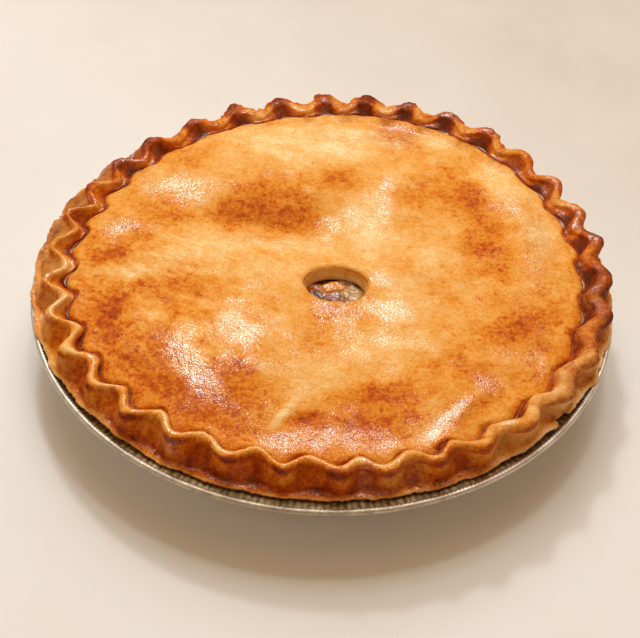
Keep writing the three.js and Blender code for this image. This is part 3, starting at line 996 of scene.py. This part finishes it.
def make_tin():
    skin = Skin()
    outside_rows, inside_rows = tin_rows()
    rng = np.random.default_rng(81)
    angle = around(TIN_COLUMNS)
    pleat_place = np.arange(TIN_COLUMNS) / TIN_COLUMNS * PLEATS
    wander = np.interp(pleat_place, np.arange(PLEATS + 1), rng.normal(0, 0.16, PLEATS + 1))
    height = np.interp(pleat_place, np.arange(PLEATS + 1), rng.uniform(0.5, 1.3, PLEATS + 1))
    pleat = np.sin((pleat_place + wander) * TAU) * height
    knurl = np.where(np.arange(TIN_COLUMNS) % (TIN_COLUMNS // KNURLS) < 2, -1.0, 0.3)
    knurl = knurl * (0.6 + 0.4 * noise(cylinder_points(angle, 60.0, 0), 2.0, 82))
    for number, (radius, z, pleat_depth, knurl_depth) in enumerate(outside_rows + inside_rows):
        inside = number >= len(outside_rows)
        if radius == 0:
            skin.add(circle(1, 0, z))
            continue
        if pleat_depth == 0 and knurl_depth == 0 and radius < TIN_BASE_RADIUS:
            skin.add(circle(BASE_COLUMNS, radius, z))
            continue
        ring_radius = radius + pleat_depth * pleat + knurl_depth * knurl
        # The flange under the crust's skirt and the front of the bead are painted olive-brown and darker:
        # painted shade and a painted reflection of the crust.
        painted_shade_and_reflection = inside * float(smoothstep(radius, FLANGE_RADIUS + 0.6, FLANGE_RADIUS - 0.6))
        if knurl_depth:
            painted_shade_and_reflection = 0.62 * angle_hill(angle, -10, 50)
        # a thin orange line between the flange and the bead: a painted reflection of the crust
        painted_rim_reflection = inside * float(hill(radius, FLANGE_RADIUS + 0.1, 0.35))
        marks = {"painted_shade_and_reflection": painted_shade_and_reflection, "painted_rim_reflection": painted_rim_reflection, "pleat": pleat * (pleat_depth > 0)}
        # the dents of the knurl, kept so that they can be painted darker: painted shade in them
        marks["knurl"] = np.minimum(0, knurl) * (knurl_depth > 0.1)
        ring_z = z + 0.3 * pleat_depth * pleat + knurl_depth * knurl * (z > RIM_HEIGHT)
        skin.add(cylinder_points(angle, ring_radius, ring_z), **marks)
    points = skin.all_points()
    made = make_object("pie_tin", points, skin.faces(), foil_material())
    for name in ("painted_shade_and_reflection", "painted_rim_reflection", "pleat", "knurl"):
        keep_values(made, name, skin.stack(name))
    disc_map(made, skin, len(outside_rows))
    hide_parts("foil_tin")
    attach(made, body)


# -------- crumbs


def crumb_shape(rng, size):
    """A small lumpy grain: a subdivided octahedron with its corners pushed about."""
    corners = np.array([[1, 0, 0], [-1, 0, 0], [0, 1, 0], [0, -1, 0], [0, 0, 1], [0, 0, -1]], float)
    faces = [(0, 2, 4), (2, 1, 4), (1, 3, 4), (3, 0, 4), (2, 0, 5), (1, 2, 5), (3, 1, 5), (0, 3, 5)]
    points = [tuple(corner) for corner in corners]
    split = []
    for a, b, c in faces:
        middles = []
        for first, second in ((a, b), (b, c), (c, a)):
            middle = corners[first] + corners[second]
            middle = tuple(middle / np.linalg.norm(middle))
            if middle not in points:
                points.append(middle)
            middles.append(points.index(middle))
        ab, bc, ca = middles
        split += [(a, ab, ca), (ab, b, bc), (ca, bc, c), (ab, bc, ca)]
    grown = np.array(points) * rng.uniform(0.75, 1.2, (len(points), 1))
    return grown * size * rng.uniform(0.6, 1.2, 3), split


CRUMBS = 90
CRUMB_ROWS = [3, 4, 4, 5, INNER]  # rings of the crimp that crumbs lie on


def make_crumbs():
    rng = np.random.default_rng(91)
    points = []
    faces = []
    start = 0
    for _ in range(CRUMBS):
        angle = rng.uniform(0, TAU)
        spot = np.array([angle])
        controls = crimp_controls(spot)
        mark = rng.choice(CRUMB_ROWS)
        radius, height = controls[mark][0]
        size = rng.uniform(0.25, 0.6)
        shape, shape_faces = crumb_shape(rng, size)
        place = cylinder_points(spot, radius, height + size * 0.3)
        points.append(shape + place)
        faces += [tuple(start + corner for corner in face) for face in shape_faces]
        start += len(shape)
    made = make_object("crumbs", np.concatenate(points), faces, crumb_material())
    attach(made, body)


# -------- materials


class Nodes:
    """Short ways to add shader nodes and join them to a material's own shader."""

    def __init__(self, name):
        self.material = bpy.data.materials.new(name)
        self.material.use_nodes = True
        self.tree = self.material.node_tree
        self.shader = self.tree.nodes["Principled BSDF"]
        self.place = self.add("ShaderNodeTexCoord").outputs["Object"]

    def put(self, socket, value):
        """Joins the output of another node to a socket, or writes a plain value in it."""
        if isinstance(value, bpy.types.NodeSocket):
            self.tree.links.new(value, socket)
        else:
            socket.default_value = value

    def add(self, kind, inputs=None, **settings):
        """A new node. Its inputs are given by name or by number."""
        made = self.tree.nodes.new(kind)
        for key, value in settings.items():
            setattr(made, key, value)
        for key, value in (inputs or {}).items():
            self.put(made.inputs[key], value)
        return made

    def set(self, **values):
        for key, value in values.items():
            self.put(self.shader.inputs[key.replace("_", " ")], value)

    def noise(self, size_mm, detail=3.0, roughness=0.55, distortion=0.0):
        inputs = {"Vector": self.place, "Scale": 1 / (size_mm * MM), "Detail": detail}
        inputs.update({"Roughness": roughness, "Distortion": distortion})
        return self.add("ShaderNodeTexNoise", inputs).outputs["Fac"]

    def math(self, operation, first, second):
        return self.add("ShaderNodeMath", {0: first, 1: second}, operation=operation).outputs[0]

    def times(self, value, amount):
        return self.math("MULTIPLY", value, amount)

    def centred(self, value, amount):
        """The noise value moved to swing round 0, times amount."""
        return self.times(self.math("SUBTRACT", value, 0.5), amount)

    def total(self, *values):
        result = values[0]
        for value in values[1:]:
            result = self.math("ADD", result, value)
        return result

    def spread(self, value, low, high, out_low=0.0, out_high=1.0):
        """The value between low and high, eased to between the two out values."""
        inputs = {"Value": value, "From Min": low, "From Max": high, "To Min": out_low, "To Max": out_high}
        return self.add("ShaderNodeMapRange", inputs, interpolation_type="SMOOTHSTEP").outputs["Result"]

    def ramp(self, value, stops):
        made = self.add("ShaderNodeValToRGB", {"Fac": value})
        elements = made.color_ramp.elements
        while len(elements) < len(stops):
            elements.new(1.0)
        for element, (position, color) in zip(elements, stops):
            element.position = position
            element.color = (*linear(color), 1.0)
        return made.outputs["Color"]

    def blend(self, share, first, second):
        """The inputs of a Mix node for colours are numbers 0, 6 and 7, and its output is 2."""
        return self.add("ShaderNodeMix", {0: share, 6: first, 7: second}, data_type="RGBA").outputs[2]

    def kept(self, name):
        return self.add("ShaderNodeAttribute", attribute_name=name).outputs["Fac"]

    def bump(self, height, strength, distance_mm):
        inputs = {"Height": height, "Strength": strength, "Distance": distance_mm * MM}
        return self.add("ShaderNodeBump", inputs).outputs["Normal"]


def linear(color):
    """Linear light values of a colour written as #RRGGBB."""
    parts = [int(color[i : i + 2], 16) / 255 for i in (1, 3, 5)]
    return [part / 12.92 if part <= 0.04045 else ((part + 0.055) / 1.055) ** 2.4 for part in parts]


# Colours of egg-washed dough and of plain dough, from pale to burnt.
PASTRY_COLOURS = [
    (0.00, "#FDEECE"),
    (0.14, "#F9DDA4"),
    (0.28, "#F0BE74"),
    (0.42, "#EAA446"),
    (0.54, "#DC841A"),
    (0.64, "#C65C08"),
    (0.76, "#A24004"),
    (0.88, "#742803"),
    (1.00, "#501802"),
]

DRY_COLOURS = [
    (0.00, "#F8E2BC"),
    (0.30, "#E9BC80"),
    (0.50, "#D39A56"),
    (0.68, "#AE6C32"),
    (0.84, "#7A3F16"),
    (1.00, "#45200C"),
]


def pastry_material():
    n = Nodes("baked_pastry")
    grain = n.noise(0.9, 2.0, 0.6)
    fleck = n.spread(n.noise(1.7, 3.0, 0.6), 0.40, 0.60, -0.5, 0.5)
    mottle = n.noise(5.5, 4.0, 0.65, 0.6)
    crumb = n.noise(3.0, 2.0, 0.55)
    scorched = n.spread(n.total(crumb, n.times(n.kept("scorch"), 0.20)), 0.61, 0.70)
    brown = n.total(
        n.kept("brown"),
        n.centred(grain, 0.22),
        n.times(fleck, 0.08),
        n.centred(mottle, 0.20),
        n.times(scorched, 0.09),
    )
    golden = n.ramp(brown, PASTRY_COLOURS)
    tan = n.ramp(brown, DRY_COLOURS)
    shine = n.kept("shine")
    rough = n.total(n.spread(shine, 0.15, 0.8, 0.74, 0.36), n.centred(mottle, 0.16))
    glaze = n.total(shine, n.centred(mottle, 0.6), n.centred(n.noise(0.8, 2.0, 0.6), 1.5))
    pimples = n.noise(0.62, 0.0, 0.5, 0.5)
    dimples = n.noise(2.6, 1.0, 0.5, 1.0)
    normal = n.bump(n.total(pimples, n.times(dimples, 1.6)), 1.0, 0.16)
    n.set(Base_Color=n.blend(n.kept("dry"), golden, tan), Roughness=rough, Normal=normal)
    n.set(Specular_IOR_Level=0.32, Specular_Tint=(1.0, 0.72, 0.42, 1.0))
    n.set(Coat_Weight=n.spread(glaze, 0.36, 0.92), Coat_Normal=normal)
    n.set(Coat_Roughness=0.18, Coat_IOR=1.85)
    return n.material


def syrup_material():
    n = Nodes("caramelised_syrup")
    colour = n.ramp(n.noise(4.0), [(0.3, "#54200A"), (0.7, "#8E4212")])
    n.set(Base_Color=colour, Normal=n.bump(n.noise(0.8, 2.0), 0.4, 0.25))
    n.set(Roughness=0.2, Specular_IOR_Level=0.35, Coat_Weight=0.35, Coat_Roughness=0.08)
    return n.material


def crumb_material():
    n = Nodes("pastry_crumbs")
    colour = n.ramp(n.noise(1.5), [(0.3, "#C97A34"), (0.7, "#E6B070")])
    n.set(Base_Color=colour, Normal=n.bump(n.noise(0.4, 2.0), 0.4, 0.1), Roughness=0.6)
    return n.material


def filling_material():
    n = Nodes("cooked_apple")
    apple = n.add("ShaderNodeAttribute", attribute_name="apple").outputs["Color"]
    darker = n.ramp(n.noise(2.5), [(0.0, "#5A2A10"), (1.0, "#8A4A1C")])
    share = n.spread(n.noise(1.6, 4.0, 0.6, 0.8), 0.46, 0.72, 0.0, 0.55)
    n.set(Base_Color=n.blend(share, apple, darker), Normal=n.bump(n.noise(1.4, 2.0), 0.5, 0.3))
    n.set(Roughness=0.24, Coat_Weight=0.4, Coat_Roughness=0.1)
    return n.material


def foil_material():
    n = Nodes("aluminium_foil")
    # random tone, with the knurl's dents darker: painted shade in the dents
    tone_and_dent_shade = n.total(n.noise(6.0, 4.0), n.times(n.kept("knurl"), 0.9))
    bare = n.ramp(tone_and_dent_shade, [(0.0, "#66635C"), (0.35, "#D4D1C9"), (0.7, "#F8F6F2")])
    # lighter and darker across each pleat: painted light and shade on the pleats
    pleat_shading = n.total(n.times(n.kept("pleat"), 0.16), n.noise(3.0))
    # the olive-brown of the flange and of the front of the bead: painted shade and a painted reflection of
    # the crust
    painted_shade_and_reflection = n.ramp(pleat_shading, [(0.2, "#5A4A2E"), (0.5, "#96845C"), (0.8, "#C4B28A")])
    colour = n.blend(n.kept("painted_shade_and_reflection"), bare, painted_shade_and_reflection)
    # the orange line at the flange's edge: a painted reflection of the crust
    rim_reflection_colour = n.ramp(n.noise(9.0), [(0.3, "#8A4A1C"), (0.7, "#C07A38")])
    brushed = n.spread(n.noise(2.5, 4.0, 0.6), 0.3, 0.7, 0.36, 0.52)
    n.set(Base_Color=n.blend(n.kept("painted_rim_reflection"), colour, rim_reflection_colour))
    n.set(Roughness=n.total(brushed, n.times(n.kept("painted_shade_and_reflection"), 0.2)))
    n.set(Normal=n.bump(n.noise(1.5), 0.25, 0.12), Metallic=0.65, Specular_IOR_Level=0.8)
    return n.material


def floor_material():
    n = Nodes("pale_floor")
    cloudy = n.centred(n.noise(70.0, 5.0, 0.6, 0.4), 0.5)
    # The floor is darker towards the back and the right: painted fall-off of the light across it.
    axes = n.add("ShaderNodeSeparateXYZ", {0: n.place}).outputs
    across = n.total(n.times(axes["X"], 0.7), n.times(axes["Y"], 0.9))
    stops = [(0.0, "#EAEDEF"), (0.35, "#E4E4E3"), (1.0, "#D0CAC3")]
    n.set(Base_Color=n.ramp(n.total(n.spread(across, -0.1, 0.42), cloudy), stops))
    n.set(Normal=n.bump(n.noise(2.5), 0.15, 0.2), Roughness=0.75, Specular_IOR_Level=0.2)
    return n.material


# -------- floor, lights and camera


FLOOR_REACH = 3000.0


def make_floor():
    corners = np.array([(-1, -1, 0), (1, -1, 0), (1, 1, 0), (-1, 1, 0)]) * FLOOR_REACH
    floor = make_object("floor", corners, [(0, 1, 2, 3)], floor_material())


def area_light(name, place, target, width, depth, watts, color):
    data = bpy.data.lights.new(name, "AREA")
    data.shape = "RECTANGLE"
    data.size = width
    data.size_y = depth
    data.energy = watts
    data.color = color
    lamp = bpy.data.objects.new(name, data)
    lamp.location = place
    lamp.rotation_euler = (Vector(target) - Vector(place)).to_track_quat("-Z", "Y").to_euler()
    bpy.context.scene.collection.objects.link(lamp)


def make_lights():
    cool = (0.88, 0.97, 1.0)
    warm = (1.0, 0.74, 0.46)
    white = (0.97, 1.0, 0.98)
    target = (0, 0, 0.02)
    area_light("key", (0.0, 0.98, 2.28), target, 1.9, 0.9, 16.8, white)
    area_light("key_soft", (0.0, 1.9, 1.75), target, 3.2, 1.2, 4.0, cool)
    area_light("sheen", (-0.22, 1.82, 1.80), target, 1.0, 0.6, 10.0, white)
    area_light("overhead", (0.0, 0.1, 2.6), target, 2.4, 1.8, 9.0, warm)
    area_light("side", (-1.8, -1.2, 2.0), target, 1.6, 1.4, 4.0, (1.0, 0.88, 0.74))
    area_light("glint_left", (-0.40, 1.5, 2.05), target, 0.26, 0.22, 14.0, white)
    area_light("glint_back", (0.5, 2.0, 1.6), target, 0.34, 0.28, 3.2, white)
    area_light("glint_top", (0.1, 0.55, 2.4), target, 0.22, 0.18, 4.6, white)
    world = bpy.data.worlds.new("studio")
    world.use_nodes = True
    background = world.node_tree.nodes["Background"]
    background.inputs["Color"].default_value = (1.0, 0.54, 0.24, 1.0)
    background.inputs["Strength"].default_value = 0.34
    bpy.context.scene.world = world
    bpy.context.scene.view_settings.view_transform = "Standard"


CAMERA_AIM = (-0.549, -18.17, 28.0)
CAMERA_DISTANCE = 652.6
CAMERA_ELEVATION = 43.88
CAMERA_ROLL = 3.15
CAMERA_LENS = 88.7  # for a sensor 36 mm wide


def make_camera():
    elevation = math.radians(CAMERA_ELEVATION)
    roll = math.radians(CAMERA_ROLL)
    back = Vector((0, -math.cos(elevation), math.sin(elevation)))
    right = Vector((1, 0, 0))
    up = back.cross(right)
    turned_right = right * math.cos(roll) + up * math.sin(roll)
    turned_up = up * math.cos(roll) - right * math.sin(roll)
    place = (Vector(CAMERA_AIM) + back * CAMERA_DISTANCE) * MM
    data = bpy.data.cameras.new("camera")
    data.sensor_width = 36.0
    data.lens = CAMERA_LENS
    data.clip_start = 0.01
    camera = bpy.data.objects.new("camera", data)
    turned = Matrix((turned_right, turned_up, back)).transposed().to_4x4()
    camera.matrix_world = Matrix.Translation(place) @ turned
    bpy.context.scene.collection.objects.link(camera)
    bpy.context.scene.camera = camera


# -------- the scene

make_camera()
make_lights()
make_floor()
make_tin()
make_crust()
make_syrup()
make_filling()
make_crumbs()
